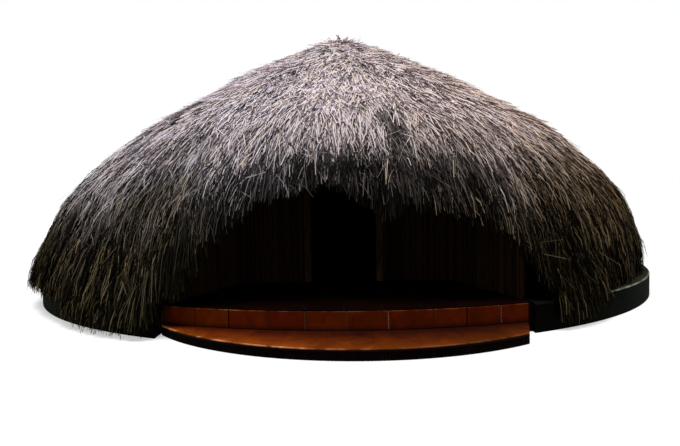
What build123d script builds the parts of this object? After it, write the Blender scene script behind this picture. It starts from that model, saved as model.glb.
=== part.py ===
"""Round thatched hut on a masonry plinth, with an arched mouth and a small reed-walled porch.

Millimetres. The hut's axis is Z, the ground is z = 0 and the mouth faces -Y. Azimuths are in degrees
from the mouth towards +X.
"""

import os
from math import asin, atan2, ceil, cos, degrees, hypot, radians, sin, sqrt, tan

from build123d import *

FIT = 0.3  # clearance between pieces that touch on curved or slanted faces

# Plinth, floor and steps
PLINTH_RADIUS = 5100
PLINTH_WIDTH = 270
PLINTH_HEIGHT = 320
PLINTH_EDGE = 15
PLINTH_PIECES = 6
MOUTH_HALF_WIDTH = 2050  # half of the gap in the plinth
LANDING_SETBACK = 195  # of the front of the landing's arc, from the plinth's outer circle
LANDING_DEPTH = 905
LANDING_ARC_RADIUS = 5500
LANDING_ARC_SHIFT = 200  # of the arc's centre, to the right of the hut's axis
STEP_PROJECTION = 715  # of the front of the step's arc, beyond the landing's
STEP_ARC_RADIUS = 2860
STEP_ARC_SHIFT = 220
STEP_END_SLANT = 16.7  # degrees that the step's ends turn inward from straight ahead
STEP_HEIGHT = 112
TREAD_THICKNESS = 25
NOSING = 15

# Outer form of the dome, from its eave up to the apex: three arcs that follow each other
LEDGE = 160  # bare rim of the plinth outside the thatch
EAVE_HEIGHT = 700  # where the thatch starts to lean inward
EAVE_RADIUS = 1500
HAUNCH_SLOPE = 46.5
HAUNCH_RADIUS = 5000
UPPER_SLOPE = 37.5
UPPER_RADIUS = 15000
EAVE_COURSES = 3
HAUNCH_COURSES = 1
UPPER_COURSES = 3

# Thatch
THATCH_THICKNESS = 360
CROWN_RADIUS = 900
CROWN_TOP_RADIUS = 600
CROWN_TOP_FACETS = 3
SKIRT_FOOT = 25  # how far above the ground the long skirts end
SKIRT_GAP = 5  # between a long skirt and the plinth's face

# Mouth
MOUTH_MARGIN = 250  # from the end of the plinth to the cut edge of the thatch
MOUTH_CUT_HEIGHT = 1800
ARCH_POLE = 130

# Frame
RAFTER_COUNT = 24
RAFTER_POLE = 80
POLE_SIDES = 6
ARCH_SAMPLES = 60  # points along half the arch where its clearance is looked at
HOOP_DEPTH = 56
HOOP_SPACING = 650
CROWN_RING_RADIUS = 400
CROWN_RING_WIDTH = 90
CROWN_RING_HEIGHT = 140
POST_COUNT = 8
POST_POLE = 180
AISLE = 2750  # from the ring beam's corners to the plinth's outer circle
RING_BEAM_WIDTH = 120

# Porch
PORCH_SETBACK = 690  # of the side walls' ends, from the plinth's outer circle
PORCH_DEPTH = 1490
PORCH_TAPER = 530  # how far each side wall comes inward over that depth
REED_WALL = 50
DOOR_HALF_WIDTH = 450
DOOR_POLE = 90
HEAD_HEIGHT = 250  # of the panel over the door, at its lower corners

# Worked out from the sizes above
UPRIGHT = 90
HALF_TURN = 180
BAY = 2 * HALF_TURN / RAFTER_COUNT
FACET = BAY / 2  # the thatch is flat over each half bay
FLOOR = PLINTH_HEIGHT
FLOOR_RADIUS = PLINTH_RADIUS - PLINTH_WIDTH
FAR = 2 * PLINTH_RADIUS  # longer than anything that it cuts
LANDING_FRONT = PLINTH_RADIUS - LANDING_SETBACK
STEP_FRONT = LANDING_FRONT + STEP_PROJECTION
MOUTH_CUT_HALF_WIDTH = MOUTH_HALF_WIDTH + MOUTH_MARGIN
RING_BEAM_RADIUS = PLINTH_RADIUS - AISLE
PORCH_MOUTH_HALF = MOUTH_HALF_WIDTH - REED_WALL
PORCH_MOUTH_DISTANCE = PLINTH_RADIUS - PORCH_SETBACK
PORCH_BACK_HALF = PORCH_MOUTH_HALF - PORCH_TAPER
PORCH_BACK_DISTANCE = PORCH_MOUTH_DISTANCE - PORCH_DEPTH


def dome_point(slope):
    """Radius and height of the dome's outer form where it slopes by this many degrees."""
    radius, height, start = PLINTH_RADIUS - LEDGE, EAVE_HEIGHT, UPRIGHT
    for arc, end in (
        (EAVE_RADIUS, HAUNCH_SLOPE),
        (HAUNCH_RADIUS, UPPER_SLOPE),
        (UPPER_RADIUS, 0),
    ):
        stop = max(slope, end)
        radius -= arc * (sin(radians(start)) - sin(radians(stop)))
        height += arc * (cos(radians(stop)) - cos(radians(start)))
        if slope >= end:
            break
        start = stop
    return radius, height


def course_slopes(flare):
    """Slopes where the straight courses meet, from the apex down to the skirt."""
    apex = degrees(asin(sin(radians(UPPER_SLOPE)) - dome_point(UPPER_SLOPE)[0] / UPPER_RADIUS))
    slopes = [apex]
    for count, end in (
        (UPPER_COURSES, UPPER_SLOPE),
        (HAUNCH_COURSES, HAUNCH_SLOPE),
        (EAVE_COURSES, flare),
    ):
        start = slopes[-1]
        slopes += [start + (end - start) * (k + 1) / count for k in range(count)]
    return slopes


def course_lines(flare):
    """Each course as its slope and its distance from the centre, along its own normal."""
    ends = [dome_point(slope) for slope in course_slopes(flare)]
    lines = []
    for (r0, z0), (r1, z1) in zip(ends, ends[1:]):
        slope = atan2(z0 - z1, r1 - r0)
        lines.append((slope, r0 * sin(slope) + z0 * cos(slope)))
    skirt = radians(flare)
    lines.append((skirt, ends[-1][0] * sin(skirt) + ends[-1][1] * cos(skirt)))
    return lines


def crossing(upper, lower, depth):
    """Where two courses meet, both moved inward by the depth."""
    (a, reach_a), (b, reach_b) = upper, lower
    reach_a, reach_b = reach_a - depth, reach_b - depth
    turn = sin(a - b)
    radius = (reach_a * cos(b) - reach_b * cos(a)) / turn
    height = (reach_b * sin(a) - reach_a * sin(b)) / turn
    return radius, height


def height_on(line, radius, depth):
    return (line[1] - depth - radius * sin(line[0])) / cos(line[0])


def radius_on(line, height, depth):
    return (line[1] - depth - height * cos(line[0])) / sin(line[0])


def radius_at(height, depth):
    """Radius of the surface at this depth under the thatch's outer face, at this height."""
    return min(radius_on(line, height, depth) for line in course_lines(UPRIGHT))


def layer(depth, top_radius, foot_height, flare=UPRIGHT):
    """Profile of the surface at this depth under the thatch's outer face, from its top down to its foot."""
    lines = course_lines(flare)
    points = [(top_radius, height_on(lines[0], top_radius, depth))]
    points += [crossing(a, b, depth) for a, b in zip(lines, lines[1:])]
    points.append((radius_on(lines[-1], foot_height, depth), foot_height))
    return points


def radial_plane(azimuth):
    """Upright plane through the axis, with its X pointing outward at this azimuth."""
    a = radians(azimuth)
    return Plane((0, 0, 0), x_dir=(sin(a), -cos(a), 0), z_dir=(-cos(a), -sin(a), 0))


def save(piece, name):
    piece.part.label = name
    export_step(piece.part, f"parts/{name}.step")


os.makedirs("parts", exist_ok=True)

HOOP_FACE = THATCH_THICKNESS + FIT
HOOP_CORNER = RAFTER_POLE / 2 * tan(radians(HALF_TURN / POLE_SIDES)) * tan(radians(BAY / 2))
RAFTER_FACE = HOOP_FACE + HOOP_DEPTH + HOOP_CORNER + FIT
RAFTER_AXIS = RAFTER_FACE + RAFTER_POLE / 2
FRAME_INSIDE = RAFTER_FACE + RAFTER_POLE + FIT

# Floor slab, cut back where the landing stands
with BuildPart() as floor_slab:
    with BuildSketch():
        Circle(FLOOR_RADIUS - FIT)
        with Locations((0, -LANDING_FRONT)):
            Rectangle(2 * MOUTH_HALF_WIDTH, 2 * LANDING_DEPTH, mode=Mode.SUBTRACT)
    extrude(amount=FLOOR)
save(floor_slab, "floor_slab")

# Landing, with its front on a shallow arc
with BuildPart() as entrance_landing:
    with BuildSketch():
        with Locations((LANDING_ARC_SHIFT, LANDING_ARC_RADIUS - LANDING_FRONT)):
            Circle(LANDING_ARC_RADIUS)
        with Locations((0, -LANDING_FRONT)):
            Rectangle(
                2 * (MOUTH_HALF_WIDTH - FIT),
                2 * (LANDING_DEPTH - FIT),
                mode=Mode.INTERSECT,
            )
    extrude(amount=FLOOR)
save(entrance_landing, "entrance_landing")


def landing_front_at(x):
    """How far the landing's front is from the hut's middle line across, at this x."""
    rise = sqrt(LANDING_ARC_RADIUS**2 - (x - LANDING_ARC_SHIFT) ** 2)
    return LANDING_FRONT - LANDING_ARC_RADIUS + rise


def step_sketch(setback):
    """The lower step's plan between its own arc and the landing's, with its ends cut on a slant."""
    half = MOUTH_HALF_WIDTH - FIT
    back = min(landing_front_at(-half), landing_front_at(half))
    front_half = half - (STEP_FRONT - back) * tan(radians(STEP_END_SLANT))
    with BuildSketch() as plan:
        with Locations((STEP_ARC_SHIFT, STEP_ARC_RADIUS - STEP_FRONT)):
            Circle(STEP_ARC_RADIUS - setback)
        with BuildLine():
            Polyline(
                (-half, -back),
                (-front_half, -STEP_FRONT),
                (front_half, -STEP_FRONT),
                (half, -back),
                close=True,
            )
        make_face(mode=Mode.INTERSECT)
        with Locations((LANDING_ARC_SHIFT, LANDING_ARC_RADIUS - LANDING_FRONT)):
            Circle(LANDING_ARC_RADIUS + FIT, mode=Mode.SUBTRACT)
    return plan.sketch


with BuildPart() as lower_step:
    add(step_sketch(NOSING))
    extrude(amount=STEP_HEIGHT - TREAD_THICKNESS)
save(lower_step, "lower_step")

with BuildPart() as step_tread:
    with BuildSketch(Plane.XY.offset(STEP_HEIGHT - TREAD_THICKNESS)):
        add(step_sketch(0))
    extrude(amount=TREAD_THICKNESS)
save(step_tread, "step_tread")

# Plinth ring, in equal lengths from one side of the mouth to the other
mouth_azimuth = degrees(asin(MOUTH_HALF_WIDTH / PLINTH_RADIUS))
plinth_sweep = (360 - 2 * mouth_azimuth) / PLINTH_PIECES
for index in range(PLINTH_PIECES):
    with BuildPart() as plinth:
        with BuildSketch(radial_plane(mouth_azimuth + plinth_sweep * index)):
            with BuildLine():
                Polyline(
                    (FLOOR_RADIUS, 0),
                    (PLINTH_RADIUS, 0),
                    (PLINTH_RADIUS, PLINTH_HEIGHT - PLINTH_EDGE),
                    (PLINTH_RADIUS - PLINTH_EDGE, PLINTH_HEIGHT),
                    (FLOOR_RADIUS, PLINTH_HEIGHT),
                    close=True,
                )
            make_face()
        revolve(axis=Axis.Z, revolution_arc=plinth_sweep)
        with BuildSketch():
            with Locations((0, -PLINTH_RADIUS)):
                Rectangle(2 * MOUTH_HALF_WIDTH, PLINTH_RADIUS)
        extrude(amount=PLINTH_HEIGHT, mode=Mode.SUBTRACT)
    save(plinth, f"plinth_{index + 1}")

# Entrance arch: a bent pole on a half ellipse, close under the thatch and behind its cut edge
arch_half_width = MOUTH_CUT_HALF_WIDTH + ARCH_POLE / 2
arch_height = MOUTH_CUT_HEIGHT + ARCH_POLE / 2
arch_distance = FAR
for k in range(ARCH_SAMPLES):
    angle = radians(90 * k / ARCH_SAMPLES)
    under_thatch = radius_at(arch_height * cos(angle), HOOP_FACE + ARCH_POLE / 2) * cos(radians(FACET / 2))
    arch_distance = min(arch_distance, sqrt(under_thatch**2 - (arch_half_width * sin(angle)) ** 2))


def arch_solid(pole):
    """The arch's pole at this thickness, from the floor on one side to the floor on the other."""
    with BuildPart() as arch:
        with BuildLine(Plane.XZ.offset(arch_distance)):
            EllipticalCenterArc((0, 0), arch_half_width, arch_height, start_angle=0, arc_size=HALF_TURN)
        with BuildSketch():
            with Locations((arch_half_width, -arch_distance)):
                RegularPolygon(pole / 2, POLE_SIDES)
        sweep()
        with BuildSketch():
            Rectangle(FAR, FAR)
        extrude(amount=FLOOR, mode=Mode.SUBTRACT)
    return arch


entrance_arch = arch_solid(ARCH_POLE)
save(entrance_arch, "entrance_arch")

# What the frame keeps clear of: the mouth below the arch, and the arch itself
with BuildPart() as mouth_clearance:
    with BuildSketch(Plane.XZ.offset(PORCH_BACK_DISTANCE)):
        Ellipse(arch_half_width, arch_height)
    extrude(amount=FAR)
    add(arch_solid(ARCH_POLE + 2 * FIT).part)

# Rafters: bent poles from the crown ring down to the floor
rafter_path = layer(RAFTER_AXIS, CROWN_RING_RADIUS / 2, FLOOR)
with BuildPart() as rafter:
    with BuildLine(radial_plane(0)) as bend:
        Polyline(*rafter_path)
    with BuildSketch(Plane(origin=bend.line @ 0, x_dir=(1, 0, 0), z_dir=bend.line % 0)):
        RegularPolygon(RAFTER_POLE / 2, POLE_SIDES, major_radius=False)
    sweep(path=bend.line, transition=Transition.RIGHT)
    with BuildSketch(Plane.XY.offset(FLOOR)):
        Circle(CROWN_RING_RADIUS + FIT)
    extrude(amount=FAR, mode=Mode.SUBTRACT)

short_limit = degrees(asin(arch_half_width / rafter_path[-1][0]))
azimuths = [BAY * (k + 0.5) for k in range(RAFTER_COUNT)]
short_azimuths = [a for a in azimuths if min(a, 360 - a) < short_limit]
with BuildPart() as rafters:
    for azimuth in azimuths:
        if azimuth not in short_azimuths:
            add(rafter.part, rotation=(0, 0, azimuth))
save(rafters, "rafters")

with BuildPart() as short_rafters:
    for azimuth in short_azimuths:
        add(rafter.part, rotation=(0, 0, azimuth))
    add(mouth_clearance.part, mode=Mode.SUBTRACT)
save(short_rafters, "short_rafters")


def ring_sketch(radius, height, width):
    """Plan of a ring with a corner at each rafter, at this height."""
    with BuildSketch(Plane.XY.offset(height)) as ring:
        for edge, mode in ((radius + width / 2, Mode.ADD), (radius - width / 2, Mode.SUBTRACT)):
            RegularPolygon(edge, RAFTER_COUNT, rotation=BAY / 2, mode=mode)
    return ring.sketch


# Hoops: rings of laths on the rafters, evenly spaced along each course
hoop_places = []
outside = layer(RAFTER_FACE, CROWN_RING_RADIUS, FLOOR)
for (r0, z0), (r1, z1) in zip(outside, outside[1:]):
    slope = atan2(z0 - z1, r1 - r0)
    count = ceil(hypot(r1 - r0, z1 - z0) / HOOP_SPACING)
    lath = HOOP_DEPTH / (sin(slope) + cos(slope))
    stand = HOOP_DEPTH / 2 + HOOP_CORNER * sin(slope) + FIT
    for k in range(count):
        share = (k + 0.5) / count
        radius = r0 + (r1 - r0) * share + stand * sin(slope)
        height = z0 + (z1 - z0) * share + stand * cos(slope)
        hoop_places.append((radius, height, lath))

with BuildPart() as hoops_upper:
    for radius, height, lath in hoop_places:
        if height - lath / 2 > arch_height + ARCH_POLE:
            extrude(ring_sketch(radius, height - lath / 2, lath), amount=lath)
save(hoops_upper, "hoops_upper")

with BuildPart() as hoops_lower:
    for radius, height, lath in hoop_places:
        if height - lath / 2 <= arch_height + ARCH_POLE:
            extrude(ring_sketch(radius, height - lath / 2, lath), amount=lath)
    add(mouth_clearance.part, mode=Mode.SUBTRACT)
save(hoops_lower, "hoops_lower")

# Crown ring, which the rafters' ends are cut to
courses = course_lines(UPRIGHT)
crown_ring_bottom = height_on(courses[0], CROWN_RING_RADIUS, RAFTER_AXIS) - CROWN_RING_HEIGHT / 2
with BuildPart() as crown_ring:
    extrude(
        ring_sketch(CROWN_RING_RADIUS - CROWN_RING_WIDTH / 2, crown_ring_bottom, CROWN_RING_WIDTH),
        amount=CROWN_RING_HEIGHT,
    )
save(crown_ring, "crown_ring")

# Ring beam, close under the rafters, and the posts that carry it
beam_axis = min(
    height_on(line, RING_BEAM_RADIUS, FRAME_INSIDE + RING_BEAM_WIDTH / 2 * (sin(line[0]) + cos(line[0])))
    for line in courses[: UPPER_COURSES + HAUNCH_COURSES]
)
beam_bottom = beam_axis - RING_BEAM_WIDTH / 2
with BuildPart() as ring_beam:
    extrude(ring_sketch(RING_BEAM_RADIUS, beam_bottom, RING_BEAM_WIDTH), amount=RING_BEAM_WIDTH)
save(ring_beam, "ring_beam")

with BuildPart() as main_posts:
    with BuildSketch(Plane.XY.offset(FLOOR)):
        with PolarLocations(RING_BEAM_RADIUS, POST_COUNT, start_angle=HALF_TURN / POST_COUNT):
            Circle(POST_POLE / 2)
    extrude(amount=beam_bottom - FLOOR)
save(main_posts, "main_posts")

# The room that the frame leaves: inside the rafters, and through the mouth inside the arch
with BuildPart() as room:
    with BuildSketch(radial_plane(0)):
        with BuildLine():
            inside = layer(FRAME_INSIDE, 0, FLOOR)
            Polyline((0, FLOOR), *inside, close=True)
        make_face()
    revolve(axis=Axis.Z)
    with BuildSketch(Plane.XZ.offset(PORCH_BACK_DISTANCE)):
        Ellipse(MOUTH_CUT_HALF_WIDTH - FIT, MOUTH_CUT_HEIGHT - FIT)
        with Locations((0, -FAR / 2 + FLOOR)):
            Rectangle(FAR, FAR, mode=Mode.SUBTRACT)
    extrude(amount=PORCH_MOUTH_DISTANCE + REED_WALL - PORCH_BACK_DISTANCE)
    add(arch_solid(ARCH_POLE + 2 * FIT).part, mode=Mode.SUBTRACT)

# Porch: a reed wall on each side, and one across the back with a doorway in it
with BuildPart() as porch_wall_right:
    with BuildSketch(Plane.XY.offset(FLOOR)):
        with BuildLine():
            face = Line(
                (PORCH_BACK_HALF, -PORCH_BACK_DISTANCE),
                (PORCH_MOUTH_HALF, -PORCH_MOUTH_DISTANCE),
            )
            offset(face, amount=REED_WALL, side=Side.LEFT)
        make_face()
    extrude(amount=FAR)
    add(room.part, mode=Mode.INTERSECT)
save(porch_wall_right, "porch_wall_right")

with BuildPart() as porch_wall_left:
    mirror(porch_wall_right.part, about=Plane.YZ)
save(porch_wall_left, "porch_wall_left")

post_outside = DOOR_HALF_WIDTH + DOOR_POLE
roof_over_door = min(
    height_on(line, hypot(post_outside, PORCH_BACK_DISTANCE), FRAME_INSIDE) for line in courses
)
lintel_top = roof_over_door - HEAD_HEIGHT
post_top = lintel_top - DOOR_POLE
wall_middle = PORCH_BACK_DISTANCE - REED_WALL / 2
with BuildPart() as back_wall_right:
    with BuildSketch(Plane.XY.offset(FLOOR)):
        with Locations(((post_outside + PORCH_BACK_HALF) / 2, -wall_middle)):
            Rectangle(PORCH_BACK_HALF - post_outside, REED_WALL)
    extrude(amount=FAR)
    add(room.part, mode=Mode.INTERSECT)
save(back_wall_right, "back_wall_right")

with BuildPart() as back_wall_left:
    mirror(back_wall_right.part, about=Plane.YZ)
save(back_wall_left, "back_wall_left")

with BuildPart() as back_wall_head:
    with BuildSketch(Plane.XY.offset(lintel_top)):
        with Locations((0, -wall_middle)):
            Rectangle(2 * post_outside, REED_WALL)
    extrude(amount=FAR)
    add(room.part, mode=Mode.INTERSECT)
save(back_wall_head, "back_wall_head")

with BuildPart() as door_posts:
    with BuildSketch(Plane.XY.offset(FLOOR)):
        for side in (-1, 1):
            with Locations((side * (DOOR_HALF_WIDTH + DOOR_POLE / 2), -wall_middle)):
                Rectangle(DOOR_POLE, DOOR_POLE)
    extrude(amount=post_top - FLOOR)
save(door_posts, "door_posts")

with BuildPart() as door_lintel:
    with BuildSketch(Plane.XY.offset(post_top)):
        with Locations((0, -wall_middle)):
            Rectangle(2 * post_outside, DOOR_POLE)
    extrude(amount=DOOR_POLE)
save(door_lintel, "door_lintel")


def thatch_facet(outline):
    """One flat length of thatch about azimuth 0, whose corners have this outline of radii and heights."""
    half = radians(FACET / 2)
    with BuildPart() as facet:
        with BuildSketch(radial_plane(0)):
            with BuildLine():
                Polyline(*[(radius * cos(half), height) for radius, height in outline], close=True)
            make_face()
        extrude(amount=PLINTH_RADIUS * tan(2 * half), both=True)
        with BuildSketch():
            with BuildLine():
                Polyline((0, 0), (FAR * tan(half), -FAR), (-FAR * tan(half), -FAR), close=True)
            make_face()
        extrude(amount=FAR, mode=Mode.INTERSECT)
    return facet


def thatch_outline(flare, hangs):
    """Outline of the thatch from the crown to the ledge, or hanging past it over the plinth's face."""
    ledge = PLINTH_HEIGHT + FIT
    outer = layer(0, CROWN_RADIUS, SKIRT_FOOT if hangs else ledge, flare)
    if hangs:
        lip = (PLINTH_RADIUS + SKIRT_GAP) / cos(radians(FACET / 2))
        outer += [(lip, SKIRT_FOOT), (lip, ledge)]
    return outer + layer(THATCH_THICKNESS, CROWN_RADIUS, ledge, flare)[::-1]


# Thatch from the right jamb round the back to the left one, and over the mouth: each sector's name,
# the azimuth that it ends at, the slope of its skirt there, and whether it hangs over the plinth's face
FIRST_AZIMUTH = 37.5
FIRST_FLARE = 72
THATCH_SECTORS = (
    ("front_right", 60, 88, False),
    ("right", 90, 88, False),
    ("right_rear", 120, 87, False),
    ("back_right", 150, 86, False),
    ("back", 210, 84, False),
    ("back_left", 240, 80, False),
    ("left_rear", 270, 72, False),
    ("left", 300, 66, False),
    ("front_left", 322.5, 66, False),
    ("over_entrance", 397.5, 72, True),
)
azimuth = FIRST_AZIMUTH
flare = FIRST_FLARE
for name, end, end_flare, hangs in THATCH_SECTORS:
    count = round((end - azimuth) / FACET)
    with BuildPart() as sector:
        for k in range(count):
            middle = flare + (end_flare - flare) * (k + 0.5) / count
            facet = thatch_facet(thatch_outline(middle, hangs))
            add(facet.part, rotation=(0, 0, azimuth + FACET * (k + 0.5)))
        if name == "over_entrance":
            with BuildSketch(Plane.XZ.offset(PORCH_BACK_DISTANCE)):
                Ellipse(MOUTH_CUT_HALF_WIDTH, MOUTH_CUT_HEIGHT)
            extrude(amount=FAR, mode=Mode.SUBTRACT)
    save(sector, f"thatch_{name}")
    azimuth = end
    flare = end_flare

# Crown of thatch, rounded over the apex and flat underneath within the crown ring
first = courses[0]
rim = CROWN_RADIUS - FIT
rim_foot = (rim, height_on(first, rim, THATCH_THICKNESS))
ceiling = (CROWN_RING_RADIUS / 2, height_on(first, CROWN_RING_RADIUS / 2, THATCH_THICKNESS))
turn_centre = height_on(first, CROWN_TOP_RADIUS * sin(first[0]), 0) - CROWN_TOP_RADIUS * cos(first[0])
turns = [first[0] * (1 - k / CROWN_TOP_FACETS) for k in range(CROWN_TOP_FACETS)]
turn_points = [(CROWN_TOP_RADIUS * sin(t), turn_centre + CROWN_TOP_RADIUS * cos(t)) for t in turns]
with BuildPart() as thatch_crown:
    for outline, mode in (
        ([rim_foot, (rim, height_on(first, rim, 0)), *turn_points], Mode.ADD),
        ([rim_foot, ceiling], Mode.SUBTRACT),
    ):
        for (r0, z0), (r1, z1) in zip(outline, outline[1:]):
            with BuildSketch(Plane.XY.offset(z0)):
                RegularPolygon(r0, 2 * RAFTER_COUNT)
            inward = (r0 - r1) * cos(radians(FACET / 2))
            extrude(amount=z1 - z0, taper=degrees(atan2(inward, z1 - z0)), mode=mode)
save(thatch_crown, "thatch_crown")
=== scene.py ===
"""Looks of the round thatched hut: straw, tiles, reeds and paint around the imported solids.

Metres. The hut's axis is Z and the mouth faces -Y. Azimuths are in degrees from the mouth towards +X.
"""

import bpy
import numpy as np
from mathutils import Matrix, Vector


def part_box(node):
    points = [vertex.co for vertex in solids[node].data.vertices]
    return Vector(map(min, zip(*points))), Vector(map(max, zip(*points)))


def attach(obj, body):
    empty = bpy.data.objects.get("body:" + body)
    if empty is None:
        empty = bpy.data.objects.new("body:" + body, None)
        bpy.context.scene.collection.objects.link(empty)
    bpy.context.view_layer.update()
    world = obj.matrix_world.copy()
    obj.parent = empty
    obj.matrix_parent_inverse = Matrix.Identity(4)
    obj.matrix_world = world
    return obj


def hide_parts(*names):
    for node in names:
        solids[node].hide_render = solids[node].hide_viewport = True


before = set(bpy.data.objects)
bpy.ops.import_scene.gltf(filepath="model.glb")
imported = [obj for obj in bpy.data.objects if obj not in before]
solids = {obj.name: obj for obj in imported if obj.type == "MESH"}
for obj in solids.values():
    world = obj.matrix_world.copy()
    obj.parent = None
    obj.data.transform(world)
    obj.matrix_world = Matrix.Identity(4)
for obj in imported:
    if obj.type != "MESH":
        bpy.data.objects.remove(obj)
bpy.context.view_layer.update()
rng = np.random.default_rng(20)

# Sizes that the source of the solids also has
PLINTH_RADIUS = 5.1
LEDGE = 0.16
FLOOR = 0.32
EAVE_HEIGHT = 0.7
ARCS = ((1.5, 46.5), (5.0, 37.5), (15.0, 0.0))  # radius of each arc and the slope where it ends
CAP_RADIUS = 0.6
CAP_SLOPE = 20.2  # where the cap meets the dome, in degrees
THICKNESS = 0.36
MOUTH_HALF = 2.05
CUT_HALF_WIDTH = 2.3
CUT_HEIGHT = 1.8
LANDING_ARC = 5.5
LANDING_SHIFT = 0.2  # of the arc's centre, to the right of the hut's axis
LANDING_FRONT = 4.905
STEP_ARC = 2.86
STEP_SHIFT = 0.22
STEP_FRONT = 5.62
STEP_HEIGHT = 0.112
STEP_END_SLANT = 0.3  # how far the step's ends come inward for each metre forward
TURN_START = 37.5  # azimuth that the two tables below start at
FLARES = (
    (37.5, 72), (60, 88), (90, 88), (120, 87), (150, 86), (210, 84),
    (240, 80), (270, 72), (300, 66), (322.5, 66), (397.5, 72),
)
# Height of the skirt's foot: near the ground beside the mouth, and on the ledge elsewhere
FEET = (
    (37.5, 0.28), (40, 0.335), (316, 0.335), (322, 0.16), (326, 0.11),
    (380, 0.11), (384, 0.24), (388, 0.13), (390, 0.13), (392.5, 0.2), (397.5, 0.28),
)
FRONT = -2  # Y of the line that the front of the hut lies before


# Camera

CAMERA_PLACE = (0.033, -10.587, 1.489)
CAMERA_YAW, CAMERA_PITCH, CAMERA_ROLL = np.radians((-0.57, 2.63, -0.99))
CAMERA_LENS = 29.42


def make_camera():
    lens = bpy.data.cameras.new("camera")
    lens.sensor_fit = "HORIZONTAL"
    lens.sensor_width = 36
    lens.lens = CAMERA_LENS
    lens.clip_end = 400
    camera = bpy.data.objects.new("camera", lens)
    bpy.context.scene.collection.objects.link(camera)
    yaw, pitch, roll = CAMERA_YAW, CAMERA_PITCH, CAMERA_ROLL
    ahead = Vector((np.sin(yaw) * np.cos(pitch), np.cos(yaw) * np.cos(pitch), -np.sin(pitch)))
    right = Vector((np.cos(yaw), -np.sin(yaw), 0))
    up = right.cross(ahead)
    right, up = right * np.cos(roll) + up * np.sin(roll), up * np.cos(roll) - right * np.sin(roll)
    turn = Matrix((right, up, -ahead)).transposed().to_4x4()
    camera.matrix_world = Matrix.Translation(CAMERA_PLACE) @ turn
    bpy.context.scene.camera = camera


make_camera()


# Materials


class Shade:
    """A material's node tree, with short calls for the nodes used here."""

    def __init__(self, name, roughness, specular=0.3):
        self.material = bpy.data.materials.new(name)
        self.material.use_nodes = True
        self.tree = self.material.node_tree
        self.shader = self.tree.nodes["Principled BSDF"]
        self.shader.inputs["Roughness"].default_value = roughness
        self.shader.inputs["Specular IOR Level"].default_value = specular
        self.coordinates = self.node("ShaderNodeTexCoord").outputs["Object"]

    def node(self, kind, **settings):
        made = self.tree.nodes.new(kind)
        for key, value in settings.items():
            setattr(made, key, value)
        return made

    def feed(self, socket, value):
        if isinstance(value, bpy.types.NodeSocket):
            self.tree.links.new(value, socket)
        else:
            socket.default_value = value

    def scaled(self, x, y, z):
        made = self.node("ShaderNodeMapping")
        self.feed(made.inputs["Vector"], self.coordinates)
        made.inputs["Scale"].default_value = (x, y, z)
        return made.outputs["Vector"]

    def noise(self, scale, detail=3, vector=None, distortion=0.0):
        made = self.node("ShaderNodeTexNoise")
        self.feed(made.inputs["Vector"], vector or self.coordinates)
        made.inputs["Scale"].default_value = scale
        made.inputs["Detail"].default_value = detail
        made.inputs["Distortion"].default_value = distortion
        return made.outputs["Fac"]

    def axis(self, name):
        made = self.node("ShaderNodeSeparateXYZ")
        self.feed(made.inputs[0], self.coordinates)
        return made.outputs[name]

    def facing(self, name):
        made = self.node("ShaderNodeSeparateXYZ")
        self.feed(made.inputs[0], self.node("ShaderNodeNewGeometry").outputs["Normal"])
        return made.outputs[name]

    def stored(self, name):
        return self.node("ShaderNodeAttribute", attribute_name=name).outputs["Fac"]

    def math(self, operation, a, b=0.0):
        made = self.node("ShaderNodeMath", operation=operation)
        self.feed(made.inputs[0], a)
        self.feed(made.inputs[1], b)
        return made.outputs[0]

    def times(self, a, b):
        return self.math("MULTIPLY", a, b)

    def span(self, value, low, high, to_low=0.0, to_high=1.0):
        """The value between two numbers as a share, or as a number between two others."""
        made = self.node("ShaderNodeMapRange")
        self.feed(made.inputs["Value"], value)
        for key, number in (("From Min", low), ("From Max", high), ("To Min", to_low), ("To Max", to_high)):
            made.inputs[key].default_value = number
        return made.outputs["Result"]

    def ramp(self, factor, *stops):
        made = self.node("ShaderNodeValToRGB")
        self.feed(made.inputs["Fac"], factor)
        points = made.color_ramp.elements
        while len(points) < len(stops):
            points.new(0.5)
        for point, (place, colour) in zip(points, stops):
            point.position = place
            point.color = colour
        return made.outputs["Color"]

    def mix(self, factor, a, b, blend="MIX"):
        # The node's colour sockets share their names with its others, so they go by number
        made = self.node("ShaderNodeMix", data_type="RGBA", blend_type=blend)
        self.feed(made.inputs[0], factor)
        self.feed(made.inputs[6], a)
        self.feed(made.inputs[7], b)
        return made.outputs[2]

    def tint(self, colour, factor):
        """The colour times a number from a socket."""
        made = self.node("ShaderNodeVectorMath", operation="SCALE")
        self.feed(made.inputs[0], colour)
        self.feed(made.inputs["Scale"], factor)
        return made.outputs["Vector"]

    def bump(self, height, distance, strength=1.0):
        made = self.node("ShaderNodeBump")
        self.feed(made.inputs["Height"], height)
        made.inputs["Distance"].default_value = distance
        made.inputs["Strength"].default_value = strength
        self.feed(self.shader.inputs["Normal"], made.outputs["Normal"])

    def colour(self, value):
        self.feed(self.shader.inputs["Base Color"], value)
        return self.material


def srgb(r, g, b):
    """A display colour of 0 to 255 as the linear colour that shows as it."""
    c = np.array((r, g, b)) / 255
    linear = np.where(c <= 0.04045, c / 12.92, ((c + 0.055) / 1.055) ** 2.4)
    return (*[float(v) for v in linear], 1.0)


WHITE = srgb(255, 255, 255)
DOME_TOP = 4.45


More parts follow.
